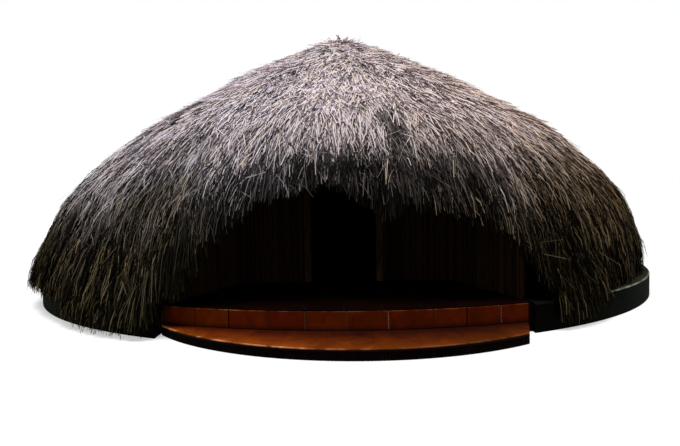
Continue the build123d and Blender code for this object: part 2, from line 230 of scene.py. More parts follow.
def weathering(shade, darkest):
    """Straw's colour by its height and tone: bleached grey on top, brown and then mossy at the foot."""
    wander = shade.span(shade.noise(0.9, 3), 0.3, 0.7, -0.35, 0.35)
    height = shade.math("DIVIDE", shade.math("ADD", shade.axis("Z"), wander), DOME_TOP)
    pale = shade.ramp(
        height,
        (0.0, srgb(100, 97, 46)),
        (0.20, srgb(120, 115, 88)),
        (0.34, srgb(190, 187, 188)),
        (0.46, srgb(240, 233, 240)),
        (0.64, srgb(252, 246, 252)),
        (1.0, srgb(252, 248, 255)),
    )
    right = shade.span(shade.axis("X"), -1, 4)
    low_right = shade.times(right, shade.span(height, 0.3, 0.6, 1, 0))
    pale = shade.mix(1.0, pale, shade.mix(right, WHITE, srgb(255, 238, 220)), "MULTIPLY")
    pale = shade.mix(1.0, pale, shade.mix(low_right, WHITE, srgb(184, 172, 128)), "MULTIPLY")
    low = shade.times(shade.span(shade.stored("tone"), 0.3, 0.75), shade.span(height, 0.25, 0.4, 1, 0))
    pale = shade.mix(shade.times(low, 0.5), pale, srgb(150, 130, 104))
    floor = shade.span(height, 0.36, 0.75, 0.012, darkest)
    tone = shade.math("POWER", shade.stored("tone"), 1.7)
    return shade.tint(pale, shade.math("MAXIMUM", tone, floor))


def straw_material():
    shade = Shade("straw", 0.75, 0.03)
    hue = shade.ramp(
        shade.stored("hue"),
        (0.0, srgb(248, 243, 252)),
        (0.55, srgb(255, 250, 250)),
        (0.85, srgb(255, 247, 234)),
        (1.0, srgb(255, 239, 222)),
    )
    tinted = shade.mix(1.0, weathering(shade, 0.16), hue, "MULTIPLY")
    # Darker towards the root end: painted shade where the straw above covers it
    root_shaded = shade.tint(tinted, shade.span(shade.stored("along"), 0, 1, 0.75, 1.0))
    streak = shade.span(shade.noise(90, 2, shade.scaled(1, 1, 0.12)), 0.3, 0.7, 0.85, 1.1)
    return shade.colour(shade.tint(root_shaded, streak))


def coat_material():
    shade = Shade("thatch_under", 0.9, 0.02)
    fibre = shade.noise(60, 4, shade.scaled(1, 1, 0.15), 0.6)
    shade.bump(fibre, 0.02, 0.8)
    return shade.colour(shade.tint(weathering(shade, 0.12), shade.span(fibre, 0.3, 0.7, 0.3, 1.0)))


def from_centre(shade, x, y):
    """Distance across the ground from a point."""
    x = shade.math("SUBTRACT", shade.axis("X"), x)
    y = shade.math("SUBTRACT", shade.axis("Y"), y)
    return shade.math("SQRT", shade.math("ADD", shade.times(x, x), shade.times(y, y)))


def floor_material():
    shade = Shade("red_floor_in_shade", 0.9, 0.01)
    # The red tiles are painted near black: painted shade inside the hut
    base = shade.mix(shade.stored("tone"), srgb(11, 2, 1), srgb(17, 4, 1))
    clouds = shade.noise(7, 5, distortion=0.3)
    shade.bump(shade.noise(45, 4), 0.004, 0.6)
    return shade.colour(shade.tint(base, shade.span(clouds, 0.3, 0.7, 0.65, 1.25)))


OPEN_JOINTS = (-1.23, 1.29, 2.04)  # joints of the riser that have lost their grout
# Joints whose grout is stained, and how much
STAINED_JOINTS = ((-1.62, 1.0), (-0.81, 0.9), (-0.41, 0.75), (0.03, 0.75), (0.93, 0.95), (1.675, 0.2))
JOINT_REACH = 0.05  # from the middle of a joint to where its stain ends


def near_joint(shade, joint):
    """1 within reach of this joint of the riser, and 0 elsewhere."""
    away = shade.math("ABSOLUTE", shade.math("SUBTRACT", shade.axis("X"), joint))
    return shade.math("LESS_THAN", away, JOINT_REACH)


def grout_material():
    """Pale mortar between the riser's tiles, near black from dirt and painted shade on top and along the
    foot, and from painted shade where it is lost.
    """
    shade = Shade("grout", 0.9, 0.05)
    grain = shade.noise(80, 4)
    shade.bump(grain, 0.003)
    clean = shade.ramp(grain, (0.3, srgb(96, 70, 54)), (0.7, srgb(152, 120, 96)))
    # Near black from dirt and painted shade: on faces that look up, along the foot and along the top
    dirt_and_shade = shade.span(shade.facing("Z"), 0.4, 0.6)
    dirt_and_shade = shade.math("MAXIMUM", dirt_and_shade, shade.math("LESS_THAN", shade.axis("Z"), STEP_HEIGHT + 0.012))
    dirt_and_shade = shade.math("MAXIMUM", dirt_and_shade, shade.math("GREATER_THAN", shade.axis("Z"), FLOOR - 0.009))
    # The open joints are painted dark, as the shade in their gaps
    for joint in OPEN_JOINTS:
        dirt_and_shade = shade.math("MAXIMUM", dirt_and_shade, near_joint(shade, joint))
    for joint, share in STAINED_JOINTS:
        clean = shade.mix(shade.times(near_joint(shade, joint), share), clean, srgb(74, 26, 5))
    return shade.colour(shade.mix(dirt_and_shade, clean, srgb(10, 4, 2)))


def plinth_material():
    """Dark green paint outside, made near black as painted shade under the thatch, and a mossy cement ledge
    with a lighter edge; painted shade on both beside the mouth.
    """
    shade = Shade("plinth", 0.85, 0.02)
    wander = shade.noise(6, 5, distortion=0.4)
    height = shade.axis("Z")
    # Near-black green: dark green paint, darkened further as painted shade under the thatch
    paint = shade.ramp(shade.noise(4, 5, distortion=0.5), (0.3, srgb(3, 7, 3)), (0.7, srgb(9, 16, 7)))
    flaking = shade.math("ADD", wander, shade.span(height, 0.29, 0.33, 0, 0.25))
    chipped = shade.math("GREATER_THAN", flaking, 0.8)
    face = shade.mix(shade.times(chipped, 0.6), paint, srgb(70, 74, 60))
    splash = shade.times(shade.span(height, 0.0, 0.12, 1, 0), shade.span(wander, 0.35, 0.65))
    face = shade.mix(shade.times(splash, 0.5), face, srgb(34, 30, 20))
    # Painted shade on the plinth's ends and ledge beside the mouth
    shade_by_mouth = shade.span(shade.math("ABSOLUTE", shade.axis("X")), MOUTH_HALF + 0.2, MOUTH_HALF + 0.7, 1, 0)
    shade_by_mouth = shade.times(shade_by_mouth, shade.math("LESS_THAN", shade.axis("Y"), -4))
    face = shade.mix(shade_by_mouth, face, srgb(3, 3, 2))
    moss = shade.ramp(
        shade.noise(9, 6), (0.3, srgb(20, 23, 13)), (0.55, srgb(36, 39, 26)), (0.75, srgb(62, 62, 48))
    )
    rim = shade.span(from_centre(shade, 0, 0), PLINTH_RADIUS - 0.022, PLINTH_RADIUS - 0.012)
    rim = shade.times(rim, shade.span(wander, 0.35, 0.6, 0.3, 1.0))
    ledge = shade.mix(rim, moss, srgb(118, 121, 106))
    ledge = shade.mix(shade_by_mouth, ledge, srgb(14, 13, 10))
    shade.bump(shade.noise(60, 6), 0.004, 0.8)
    return shade.colour(shade.mix(shade.span(shade.facing("Z"), 0.25, 0.5), face, ledge))


def stained_and_shaded_material():
    # Near black: a dark stain, darkened further as painted shade under the tread's nosing
    shade = Shade("stained_and_shaded_render", 0.9, 0.02)
    grain = shade.noise(12, 6, distortion=0.5)
    shade.bump(shade.noise(70, 5), 0.003, 0.7)
    return shade.colour(
        shade.ramp(grain, (0.3, srgb(8, 4, 3)), (0.6, srgb(15, 8, 5)), (0.85, srgb(30, 18, 12)))
    )


def tread_material():
    """Orange clay tiles, darker towards the riser from dust and painted shade, lighter on the left as
    painted light, light along the nosing from wear and a painted highlight, and painted shade below the
    top.
    """
    shade = Shade("terracotta", 0.75, 0.04)
    away = from_centre(shade, STEP_SHIFT, STEP_ARC - STEP_FRONT)
    to_nosing = shade.math("SUBTRACT", STEP_ARC, away)
    from_landing = from_centre(shade, LANDING_SHIFT, LANDING_ARC - LANDING_FRONT)
    from_riser = shade.math("SUBTRACT", from_landing, LANDING_ARC)
    depth = shade.math("MAXIMUM", shade.math("ADD", from_riser, to_nosing), 0.01)
    forward = shade.math("DIVIDE", from_riser, depth)
    # Darker towards the riser: dust and painted shade under the thatch
    base = shade.ramp(
        forward,
        (0.02, srgb(44, 11, 0)),
        (0.25, srgb(66, 18, 0)),
        (0.5, srgb(92, 33, 2)),
        (0.8, srgb(118, 50, 5)),
        (1.0, srgb(134, 62, 10)),
    )
    base = shade.tint(base, shade.span(shade.stored("tone"), 0, 1, 0.95, 1.05))
    clouds = shade.noise(5, 6, distortion=0.5)
    base = shade.tint(base, shade.span(clouds, 0.3, 0.7, 0.6, 1.35))
    # Lighter on the left and darker on the right: painted light and shade
    base = shade.tint(base, shade.span(shade.axis("X"), -1.9, 0.0, 1.1, 0.66))
    base = shade.tint(base, shade.span(shade.axis("X"), 0.0, 1.2, 1.0, 0.58))
    # Light along the nosing, mostly on the left: wear and a painted highlight
    wear_and_highlight = shade.times(shade.span(away, STEP_ARC - 0.03, STEP_ARC - 0.012), shade.span(clouds, 0.4, 0.6))
    wear_and_highlight = shade.times(wear_and_highlight, shade.span(shade.axis("X"), -0.6, 0.2, 1.0, 0.15))
    base = shade.mix(wear_and_highlight, base, srgb(214, 144, 100))
    # Near black below the top of the tiles: painted shade under the nosing
    under = shade.math("LESS_THAN", shade.axis("Z"), STEP_HEIGHT - 0.006)
    shade.bump(shade.noise(45, 4), 0.004, 0.6)
    return shade.colour(shade.mix(under, base, srgb(12, 5, 3)))


def riser_material():
    """Dark red-brown clay tiles with a lighter top edge from chips and a painted highlight, and darker
    along the foot from grime and painted shade.
    """
    shade = Shade("riser_red", 0.8, 0.03)
    base = shade.mix(shade.stored("tone"), srgb(84, 20, 1), srgb(102, 38, 1))
    clouds = shade.noise(7, 5, distortion=0.4)
    base = shade.tint(base, shade.span(clouds, 0.3, 0.7, 0.7, 1.25))
    height = shade.axis("Z")
    # Darker along the foot: grime and painted shade
    base = shade.tint(base, shade.span(height, STEP_HEIGHT, STEP_HEIGHT + 0.06, 0.35, 1.0))
    # Lighter along the top edge, mostly on the left: chips and a painted highlight
    wear_and_highlight = shade.times(shade.span(height, FLOOR - 0.016, FLOOR - 0.008), shade.span(clouds, 0.42, 0.6))
    wear_and_highlight = shade.times(wear_and_highlight, shade.span(shade.axis("X"), -1.4, -0.9, 0.5, 0.12))
    shade.bump(shade.noise(45, 4), 0.004, 0.6)
    return shade.colour(shade.mix(wear_and_highlight, base, srgb(200, 160, 100)))


def pole_material():
    shade = Shade("pole", 0.8, 0.05)
    grain = shade.noise(22, 5, shade.scaled(1, 1, 0.2), 0.8)
    shade.bump(shade.noise(40, 5, shade.scaled(1, 1, 0.1)), 0.006, 0.8)
    return shade.colour(
        shade.ramp(grain, (0.3, srgb(30, 21, 14)), (0.55, srgb(58, 42, 29)), (0.75, srgb(84, 64, 46)))
    )


def reed_material():
    shade = Shade("reed", 0.75, 0.05)
    base = shade.mix(shade.stored("tone"), srgb(24, 13, 6), srgb(64, 40, 20))
    streaks = shade.noise(70, 4, shade.scaled(1, 1, 0.06))
    base = shade.tint(base, shade.span(streaks, 0.3, 0.7, 0.6, 1.2))
    shade.bump(streaks, 0.002, 0.6)
    return shade.colour(base)


straw = straw_material()
coat = coat_material()
terracotta = tread_material()
riser_red = riser_material()
red_floor_in_shade = floor_material()
grout = grout_material()
plinth_paint = plinth_material()
stained_and_shaded = stained_and_shaded_material()
wood = pole_material()
reed = reed_material()


# Mesh helpers


def make_piece(name, vertices, faces, material, slot, smooth=False, **stored):
    """Mesh object from points and arrays of faces, each of one face size. Stored values are per point."""
    mesh = bpy.data.meshes.new(name)
    loops = np.concatenate([np.asarray(f, np.int32).reshape(-1) for f in faces if len(f)])
    sizes = np.concatenate([np.full(len(f), len(f[0]), np.int32) for f in faces if len(f)])
    mesh.vertices.add(len(vertices))
    mesh.vertices.foreach_set("co", np.asarray(vertices, np.float32).reshape(-1))
    mesh.loops.add(len(loops))
    mesh.loops.foreach_set("vertex_index", loops)
    mesh.polygons.add(len(sizes))
    mesh.polygons.foreach_set("loop_start", np.concatenate(([0], np.cumsum(sizes)[:-1])).astype(np.int32))
    mesh.polygons.foreach_set("use_smooth", np.full(len(sizes), smooth))
    for key, values in stored.items():
        mesh.attributes.new(key, "FLOAT", "POINT").data.foreach_set("value", np.asarray(values, np.float32))
    mesh.update(calc_edges=True)
    mesh.validate()
    mesh.materials.append(material)
    piece = bpy.data.objects.new(name, mesh)
    bpy.context.scene.collection.objects.link(piece)
    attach(piece, "root")
    return piece


def unit(v):
    return v / np.maximum(np.linalg.norm(v, axis=-1, keepdims=True), 1e-9)


def waves(count, size, seed):
    """Smooth seeded noise of about -1 to 1 over space, with bumps of about this size."""
    draw = np.random.default_rng(seed)
    heading = unit(draw.normal(size=(count, 3))) * (2 * np.pi / (size * draw.uniform(0.7, 1.6, (count, 1))))
    phase = draw.uniform(0, 2 * np.pi, count)

    def value(p):
        return np.sin(p @ heading.T + phase).sum(-1) / np.sqrt(count)

    return value


# Form of the thatch


ARC_SAMPLES = 60
SKIRT_SAMPLES = 60


def dome_arc(flare):
    """Radii and heights down the dome's outer face, from the apex to where its skirt starts."""
    radius, height, start = PLINTH_RADIUS - LEDGE, EAVE_HEIGHT, 90.0
    points = []
    for arc, end in ARCS:
        if end == 0:
            end = np.degrees(np.arcsin(np.sin(np.radians(start)) - radius / arc))
        slopes = np.radians(np.linspace(start, end, ARC_SAMPLES))
        points.append(
            np.stack(
                (
                    radius - arc * (np.sin(slopes[0]) - np.sin(slopes)),
                    height + arc * (np.cos(slopes) - np.cos(slopes[0])),
                    np.degrees(slopes),
                ),
                1,
            )
        )
        radius, height, start = points[-1][-1, 0], points[-1][-1, 1], end
    line = np.concatenate(points)[::-1]
    return line[line[:, 2] <= flare][:, :2]


def dome_line(flare, samples):
    """Radii and heights down the dome's outer face and on down its straight skirt to the ground."""
    line = dome_arc(flare)
    slope = np.radians(flare)
    run = np.linspace(0, line[-1, 1] / np.sin(slope), samples)[1:, None]
    return np.concatenate((line, line[-1] + run * (np.cos(slope), -np.sin(slope))))


def column(azimuth, flare, foot, depth, rows):
    """Evenly spaced radii and heights from the apex to the foot, or to the mouth's cut, at this azimuth."""
    line = dome_line(flare, SKIRT_SAMPLES)
    along = np.gradient(line, axis=0)
    normal = unit(np.stack((-along[:, 1], along[:, 0]), 1))
    line = line - normal * depth
    line = line[line[:, 0] >= 0]
    line = np.concatenate(([[0, line[0, 1]]], line))
    # Round the apex
    centre = line[0, 1] - CAP_RADIUS / np.cos(np.radians(CAP_SLOPE))
    near = line[:, 0] < CAP_RADIUS * np.sin(np.radians(CAP_SLOPE))
    line[near, 1] = np.minimum(line[near, 1], centre + np.sqrt(CAP_RADIUS**2 - line[near, 0] ** 2))
    # Stop at the foot or, in front, at the mouth's cut
    x = line[:, 0] * np.sin(azimuth)
    y = -line[:, 0] * np.cos(azimuth)
    cut = (x / CUT_HALF_WIDTH) ** 2 + (np.maximum(line[:, 1], 0) / CUT_HEIGHT) ** 2
    left = line[:, 1] - foot
    if y[-1] < FRONT:
        left = np.minimum(left, cut - 1)
    last = int(np.argmax(left < 0)) if (left < 0).any() else len(line) - 1
    share = left[last - 1] / (left[last - 1] - left[last]) if left[last] < 0 else 1.0
    end = line[last - 1] + (line[last] - line[last - 1]) * share
    line = np.concatenate((line[:last], [end]))
    # Space the points evenly
    length = np.concatenate(([0], np.cumsum(np.linalg.norm(np.diff(line, axis=0), axis=1))))
    even = np.linspace(0, length[-1], rows)
    return np.interp(even, length, line[:, 0]), np.interp(even, length, line[:, 1])


def around(table, azimuths):
    """Value by azimuth from a table of pairs that goes once round."""
    places, values = zip(*table)
    return np.interp(TURN_START + (azimuths - TURN_START) % 360, places, values)


def thatch_surface(depth, columns, rows):
    """Grid of points over the thatch at this depth, columns by rows."""
    azimuths = np.arange(columns) * 360 / columns
    flares, feet = around(FLARES, azimuths), np.maximum(around(FEET, azimuths), COAT_FOOT)
    grid = np.zeros((columns, rows, 3))
    for k, azimuth in enumerate(np.radians(azimuths)):
        r, z = column(azimuth, flares[k], feet[k], depth, rows)
        grid[k] = np.stack((r * np.sin(azimuth), -r * np.cos(azimuth), z), 1)
    return grid


def grid_normals(grid):
    """Outward normals of such a grid, which point straight up at the apex."""
    across = np.roll(grid, -1, 0) - np.roll(grid, 1, 0)
    down = np.gradient(grid, axis=1)
    normal = np.cross(down, across)
    normal[:, 0] = (0, 0, 1)
    return unit(normal)


COAT_COLUMNS = 240
OUTER_ROWS = 70
INNER_ROWS = 24
COAT_DEPTH = 0.05
COAT_FOOT = 0.2  # lowest that the coat reaches: the loose straw hangs below it
# How far each flank stands out past the even dome: azimuth and height of the middle, and the distance
FLANKS = ((-68, 0.8, 0.08), (-88, 3.1, -0.06), (62, 1.35, -0.05), (84, 2.6, 0.06))
FLANK_BREADTH, FLANK_HEIGHT = 28, 0.45  # half sizes of a flank, in degrees and metres
FLOW_RADIUS = 3  # radius that a step round the dome is measured at


def along_flow(points, stretch):
    """Points in which a step down the dome is this much shorter than one round it."""
    turn = np.arctan2(points[..., 0], -points[..., 1])
    reach = np.hypot(points[..., 0], points[..., 1])
    sideways = FLOW_RADIUS * np.sin(turn), FLOW_RADIUS * np.cos(turn)
    return np.stack((*sideways, stretch * (points[..., 2] + reach)), -1)


# Noises from broad to fine
broad = waves(24, 1.3, 3)
middling = waves(40, 0.4, 4)
grooves = waves(40, 0.16, 5)
locks = waves(60, 0.07, 6)
outer = thatch_surface(COAT_DEPTH, COAT_COLUMNS, OUTER_ROWS)
outer_normal = grid_normals(outer)
lumps = 0.018 * broad(outer) + 0.018 * middling(along_flow(outer, 0.35))
turned = np.degrees(np.arctan2(outer[..., 0], -outer[..., 1]))
for azimuth, height, distance in FLANKS:
    aside, above = (turned - azimuth) / FLANK_BREADTH, (outer[..., 2] - height) / FLANK_HEIGHT
    lumps += distance * np.exp(-(aside**2) - above**2)
lumps[:, 0] = lumps[:, 0].mean()
outer = outer + outer_normal * lumps[..., None]
inner = thatch_surface(THICKNESS, COAT_COLUMNS, INNER_ROWS)


def sheet_faces(columns, rows, first, flip):
    """Triangles round the apex, the first point, and quads below it on columns of rows - 1 points each."""
    k = np.arange(columns)
    start = first + 1 + k * (rows - 1)
    beside = np.roll(start, -1)
    fan = np.stack((np.full(columns, first), start, beside), 1)
    j = np.arange(rows - 2)[None, :]
    a, b = start[:, None] + j, beside[:, None] + j
    quads = np.stack((a, a + 1, b + 1, b), -1).reshape(-1, 4)
    return (fan[:, ::-1], quads[:, ::-1]) if flip else (fan, quads)


def sheet_points(grid):
    """The grid's points, with the apex once."""
    return np.concatenate((grid[:1, 0], grid[:, 1:].reshape(-1, 3)))


def make_coat():
    """Closed shell of thatch under the loose straw."""
    outside = sheet_points(outer)
    first = len(outside)
    fans, quads = zip(
        sheet_faces(COAT_COLUMNS, OUTER_ROWS, 0, False), sheet_faces(COAT_COLUMNS, INNER_ROWS, first, True)
    )
    k = np.arange(1, COAT_COLUMNS + 1)
    a = k * (OUTER_ROWS - 1)
    b = first + k * (INNER_ROWS - 1)
    rim = np.stack((a, b, np.roll(b, -1), np.roll(a, -1)), 1)
    points = np.concatenate((outside, sheet_points(inner)))
    faces = [np.concatenate(fans), np.concatenate((*quads, rim))]
    piece = make_piece("thatch_coat", points, faces, coat, "thatch", smooth=True)
    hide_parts(*[name for name in solids if name.startswith("thatch_")])


make_coat()


# Straw


TAPER = 0.45  # share of its width that a straw loses towards its tip


def blades(roots, ways, sides, lengths, widths, droop, levels):
    """Points of narrow blades of straw, which bend towards the ground by droop at each level."""
    place, way = roots.copy(), ways.copy()
    rows = []
    for level in range(levels):
        half = widths[:, None] * (1 - TAPER * level / (levels - 1)) / 2
        rows.append(np.stack((place - sides * half, place + sides * half), 1))
        place = place + way * (lengths / (levels - 1))[:, None]
        way = unit(way + np.array((0, 0, -1.0)) * droop[:, None])
    return np.concatenate(rows, 1)


def blade_faces(count, levels):
    first = (np.arange(count) * 2 * levels)[:, None, None]
    quad = np.array([[2 * k, 2 * k + 1, 2 * k + 3, 2 * k + 2] for k in range(levels - 1)])[None]
    return [(first + quad).reshape(-1, 4)]


def landing_front(x):
    """Y of the landing's front."""
    return LANDING_ARC - LANDING_FRONT - np.sqrt(np.maximum(LANDING_ARC**2 - (x - LANDING_SHIFT) ** 2, 0))


def step_front(x):
    """Y of the step's nosing."""
    return STEP_ARC - STEP_FRONT - np.sqrt(np.maximum(STEP_ARC**2 - (x - STEP_SHIFT) ** 2, 0))


def ground_under(points):
    """Height of what lies under each point: ledge, landing, step or ground."""
    x, y = points[..., 0], points[..., 1]
    front = (np.abs(x) < MOUTH_HALF) & (y < 0)
    height = np.where(np.hypot(x, y) < PLINTH_RADIUS, FLOOR, 0.0)
    inside = np.where(y > landing_front(x), FLOOR, np.where(y > step_front(x), STEP_HEIGHT, 0.0))
    return np.where(front, inside, height)


# Distance across, and the height where the straw that hangs in the mouth ends
MOUTH_EDGE = (
    (-2.4, 0.08), (-2.13, 0.10), (-2.06, 0.36), (-1.95, 0.42), (-1.8, 0.47), (-1.55, 0.98),
    (-1.15, 1.29), (-0.93, 1.46), (-0.48, 1.59), (-0.12, 1.70), (0.18, 1.47), (0.36, 1.40),
    (0.51, 1.21), (0.66, 1.40), (1.26, 1.31), (1.85, 1.06), (2.3, 0.40), (2.36, 0.10),
)


def foot_under(points):
    """Height where the straw ends below each point: at the mouth's edge, or at the skirt's foot."""
    x, y = points[..., 0], points[..., 1]
    foot = around(FEET, np.degrees(np.arctan2(x, -y)))
    edge = np.interp(x, *zip(*MOUTH_EDGE), left=0, right=0)
    return np.where(y < FRONT, np.maximum(foot, edge), foot)


def make_straw(name, roots, ways, normals, lengths, widths, droop, tone, hue, levels, twist=0.8):
    """A piece of straw, one value of everything per straw, which lies on what is under it."""
    roll = (rng.normal(0, 1, len(roots)) * twist)[:, None]
    side = unit(np.cross(ways, normals))
    side = unit(side * np.cos(roll) + normals * np.sin(roll))
    points = blades(roots, ways, side, lengths, widths, droop, levels)
    low = ground_under(points) + rng.uniform(0.004, 0.03, (len(points), 1))
    points[..., 2] = np.maximum(points[..., 2], low)
    make_piece(
        name,
        points.reshape(-1, 3),
        blade_faces(len(roots), levels),
        straw,
        "thatch",
        tone=np.repeat(np.clip(tone, 0, 1), 2 * levels),
        hue=np.repeat(np.clip(hue, 0, 1), 2 * levels),
        along=np.tile(np.repeat(np.arange(levels) / (levels - 1), 2), len(roots)),
    )


# How the straw changes with height: short, dense and tangled on top, long and combed by the rain below
HEIGHTS = (0.0, 0.8, 1.6, 2.4, 3.2, 4.4)
SHORTEST = (0.15, 0.16, 0.17, 0.18, 0.16, 0.10)
LONGEST = (0.42, 0.43, 0.45, 0.45, 0.42, 0.30)
WIDEST = (0.011, 0.012, 0.014, 0.018, 0.023, 0.026)
LOOSE = (0.085, 0.085, 0.085, 0.08, 0.07, 0.06)  # thickness of the layer that the roots are in
ROLL = (0.8, 0.8, 0.7, 0.55, 0.4, 0.35)  # how far the straws are turned about their own length, in radians
TANGLE = (0.19, 0.18, 0.18, 0.19, 0.24, 0.40)
DENSITY = (0.9, 0.9, 1.0, 1.1, 1.5, 1.8)  # of the tufts, by share
# Painted shade: straw lower in the layer is painted darker, as the straw above shades it
DEPTH_SHADE = (0.3, 0.3, 0.4, 0.7, 0.8, 0.7)  # how much darker the lowest straw of the layer is
BLEACHED = (-0.40, -0.18, 0.08, 0.54, 0.94, 1.08)  # what the tone gains
# Painted shade round the mouth, and two patches of painted light: across, height, half their sizes, how
# much darker
PAINTED_SHADE_PATCHES = (
    (1.05, 1.7, 0.55, 0.36, 0.8), (-0.75, 1.6, 0.45, 0.3, 0.7), (0.64, 2.25, 0.15, 0.38, 0.85),
    (1.65, 1.6, 0.35, 0.4, 0.5), (-0.05, 1.66, 0.5, 0.25, 0.6), (2.2, 1.1, 0.35, 0.5, 0.4),
    (2.6, 0.65, 0.4, 0.6, 0.45), (-1.75, 1.6, 0.3, 0.3, -0.25), (-3.0, 1.75, 0.9, 0.5, -0.35),
)
# How much the lower half of a straw falls towards the ground, by the sine of the slope it lies on
SINES = (0.0, 0.5, 0.7, 0.87, 0.97, 1.0)
FALL = (0.06, 0.2, 0.6, 1.4, 2.2, 2.4)
STRAWS_PER_TUFT = 12
# Shares of the tufts and of the straws
DARK_TUFTS = 0.09
PALE_STRAWS = 0.28
DARK_STRAWS = 0.36
STRAYS = 0.08
SHORTEST_KEPT = 0.05  # length of the shortest straw that is kept
ROOT_LIFT = 0.055  # of the highest roots above the coat
SPREAD_ACROSS, SPREAD_DOWN = 0.08, 0.12  # of the roots about the middle of their tuft


def painted_shade_share(points):
    """Share of its tone that straw keeps at each point over the front: less than all in the painted shade,
    more in the painted light.
    """
    kept = np.ones(points.shape[:-1])
    for x, z, wide, high, dark in PAINTED_SHADE_PATCHES:
        aside, above = (points[..., 0] - x) / wide, (points[..., 2] - z) / high
        kept *= 1 - dark * np.exp(-(aside**2) - above**2)
    return np.where(points[..., 1] < FRONT, kept, 1)


def scatter(count, low, high, floor, ceiling):
    """Tufts over the coat between two azimuths and two heights: points, normals and ways down."""
    beside = np.roll(outer, -1, 0)[:, :-1] - outer[:, :-1]
    cell = np.linalg.norm(np.cross(beside, outer[:, 1:] - outer[:, :-1]), axis=-1)
    azimuths = np.arange(COAT_COLUMNS) * 360 / COAT_COLUMNS
    height = outer[:, :-1, 2]
    cell = cell * (((azimuths - low) % 360) < (high - low))[:, None] * np.interp(height, HEIGHTS, DENSITY)
    cell = cell * ((height >= floor) & (height < ceiling))
    chance = cell.reshape(-1) / cell.sum()
    pick = rng.choice(len(chance), count, p=chance)
    k, j = pick // (OUTER_ROWS - 1), pick % (OUTER_ROWS - 1)
    u, v = rng.random((2, count, 1))
    after = (k + 1) % COAT_COLUMNS

    def blend(grid):
        above = grid[k, j] * (1 - u) + grid[after, j] * u
        below = grid[k, j + 1] * (1 - u) + grid[after, j + 1] * u
        return above * (1 - v) + below * v

    down = unit(np.gradient(outer, axis=1))
    return blend(outer), unit(blend(outer_normal)), unit(blend(down))


def straw_tones(tuft_tone, roots, middles, depth):
    """Tone of each straw: from its tuft, at random, and by its depth, height and place in front."""
    x, y, z = roots.T
    count = len(z)
    pale = rng.random(count) < PALE_STRAWS
    dark = rng.random(count) < DARK_STRAWS
    # Straw to the right of the mouth varies more, with the same mean
    sparkle = 1 + 0.5 * np.clip(x / 1.5 + 0.4, 0, 1) * np.clip((z - 0.7) / 0.6, 0, 1)
    tone = tuft_tone + sparkle * (rng.normal(0, 0.32, count) + pale * rng.uniform(0.2, 0.6, count))
    tone -= depth * np.interp(z, HEIGHTS, DEPTH_SHADE)
    tone += 0.2 * locks(along_flow(roots, 0.12)) - sparkle * dark * rng.uniform(0.4, 1.0, count)
    tone += 0.14 * (sparkle - 1)
    tone += np.interp(z, HEIGHTS, BLEACHED)
    # Painted light: a painted highlight above the mouth, and paler at mid height on the left of the front
    turned = np.degrees(np.arctan2(x, -y))
    tone += 0.2 * np.exp(-((turned / 35) ** 2)) * np.clip((z - 2.0) / 0.6, 0, 1)
    left_painted_light = np.clip((-x - 2.2) / 0.8, 0, 1) * np.exp(-(((z - 1.5) / 0.45) ** 2))
    tone += 0.13 * left_painted_light * (y < 0)
    return tone * painted_shade_share(middles)


def grow(name, low, high, floor, ceiling, tufts, levels):
    """One piece of loose straw over part of the dome."""
    centre, normal, down = scatter(tufts, low, high, floor, ceiling)
    tangle = np.interp(centre[:, 2], HEIGHTS, TANGLE)
    heading = unit(down + np.cross(down, normal) * (rng.normal(0, 1, tufts) * tangle * 0.6)[:, None])
    tuft_tone = rng.normal(0.50, 0.18, tufts) - 0.35 * (rng.random(tufts) < DARK_TUFTS)
    tuft_tone += 0.14 * grooves(along_flow(centre, 0.2)) + 0.08 * middling(centre)
    tuft_lift = np.abs(rng.normal(0.05, 0.05, tufts))
    tuft_hue = rng.random(tufts)
    which = np.repeat(np.arange(tufts), STRAWS_PER_TUFT)
    count = len(which)
    across, upward = np.cross(heading, normal)[which], normal[which]
    roots = centre[which] + rng.normal(0, SPREAD_ACROSS, (count, 1)) * across
    roots += rng.normal(0, SPREAD_DOWN, (count, 1)) * heading[which]
    depth = rng.uniform(0, 1, count)
    loose = np.interp(roots[:, 2], HEIGHTS, LOOSE)
    roots = roots + upward * (ROOT_LIFT - loose * depth)[:, None]
    stray = rng.random(count) < STRAYS
    sway = rng.normal(0, 1, count) * tangle[which] + stray * rng.normal(0, 0.7, count)
    lift = tuft_lift[which] + rng.normal(0.01, 0.05, count) + stray * 0.08
    way = unit(heading[which] + across * sway[:, None] + upward * lift[:, None])
    fall = np.interp(-down[which, 2], SINES, FALL) * rng.uniform(0.5, 1.3, count)
    z = roots[:, 2]
    shortest, longest = np.interp(z, HEIGHTS, SHORTEST), np.interp(z, HEIGHTS, LONGEST)
    lengths = shortest + (longest - shortest) * rng.random(count)
    room = z - foot_under(roots) + rng.uniform(-0.05, 0.06, count)
    steep = np.maximum(-way[:, 2], 0.35)
    lengths = np.minimum(lengths, np.maximum(room, 0) / steep)
    keep = lengths > SHORTEST_KEPT
    tone = straw_tones(tuft_tone[which], roots, roots + way * lengths[:, None] / 2, depth)
    make_straw(
        name,
        roots[keep],
        way[keep],
        upward[keep],
        lengths[keep],
        (np.interp(z, HEIGHTS, WIDEST) * rng.uniform(0.55, 1, count))[keep],
        fall[keep],
        tone[keep],
        (tuft_hue[which] + rng.normal(0, 0.2, count))[keep],
        levels,
        twist=np.interp(z, HEIGHTS, ROLL)[keep],
    )


TOP_FROM = 2.7  # height above which the straw is stubble
